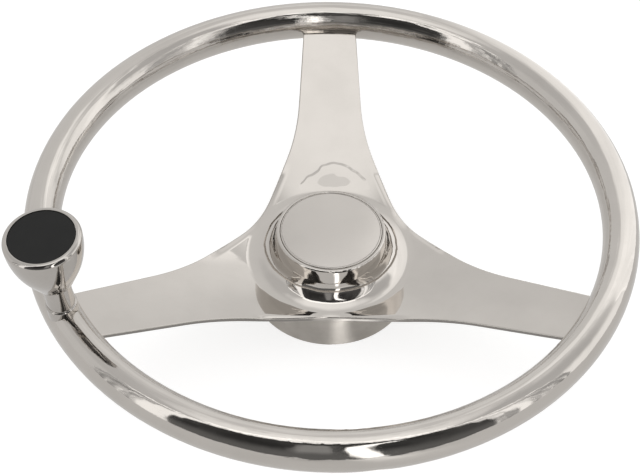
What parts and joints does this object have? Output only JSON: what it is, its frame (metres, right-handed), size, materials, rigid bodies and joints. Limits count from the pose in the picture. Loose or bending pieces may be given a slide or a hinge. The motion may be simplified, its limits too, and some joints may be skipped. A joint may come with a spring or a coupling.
{
  "type": "boat steering wheel",
  "caption": "Dished steering wheel of polished stainless steel: tube rim, pressed spoke plate, turned hub with a taper bore, centre cap, and a turning knob on the rim.",
  "frame": {"origin": "centre of the hub's rear face, where the taper bore opens and the hub meets the helm", "axes": "+Z along the shaft towards the driver, +Y up the top spoke, +X to the driver's right"},
  "size_m": [0.343, 0.343, 0.1357],
  "materials": {
    "polished_steel": "mirror polished stainless steel",
    "turned_steel": "fine turned satin stainless steel",
    "plain_steel": "plain machined steel",
    "bearing_steel": "ground bearing steel",
    "brass": "pressed brass",
    "black_plastic": "smooth black plastic, slight sheen",
    "lock_plastic": "natural white plastic",
    "rubber": "black rubber"
  },
  "bodies": {
    "wheel": {"rim_tube": "polished_steel", "spoke_plate": "polished_steel", "rear_hub": "turned_steel", "centre_cap": "polished_steel", "cap_o_ring": "rubber", "shaft_washer": "plain_steel", "shaft_nut": "plain_steel", "nut_lock_ring": "lock_plastic", "knob_post": "polished_steel", "knob_screw": "plain_steel", "screw_washer": "plain_steel", "bearing_spacer": "plain_steel", "lower_inner_race": "bearing_steel", "upper_inner_race": "bearing_steel"},
    "knob": {"knob_shell": "polished_steel", "knob_insert": "black_plastic", "lower_outer_race": "bearing_steel", "upper_outer_race": "bearing_steel"},
    "ball_cages": {"lower_balls": "bearing_steel", "lower_cage": "brass", "upper_balls": "bearing_steel", "upper_cage": "brass"}
  },
  "joints": [
    {"name": "knob_spin", "type": "hinge", "parent": "wheel", "child": "knob", "pos_m": [-0.14173, -0.08183, 0.10053], "axis": [-0.0544, -0.0314, 0.998], "continuous": true},
    {"name": "cages_spin", "type": "hinge", "parent": "wheel", "child": "ball_cages", "pos_m": [-0.14173, -0.08183, 0.10053], "axis": [-0.0544, -0.0314, 0.998], "continuous": true}
  ],
  "couplings": [
    {"joint": "cages_spin", "follows": "knob_spin", "ratio": 0.6}
  ]
}
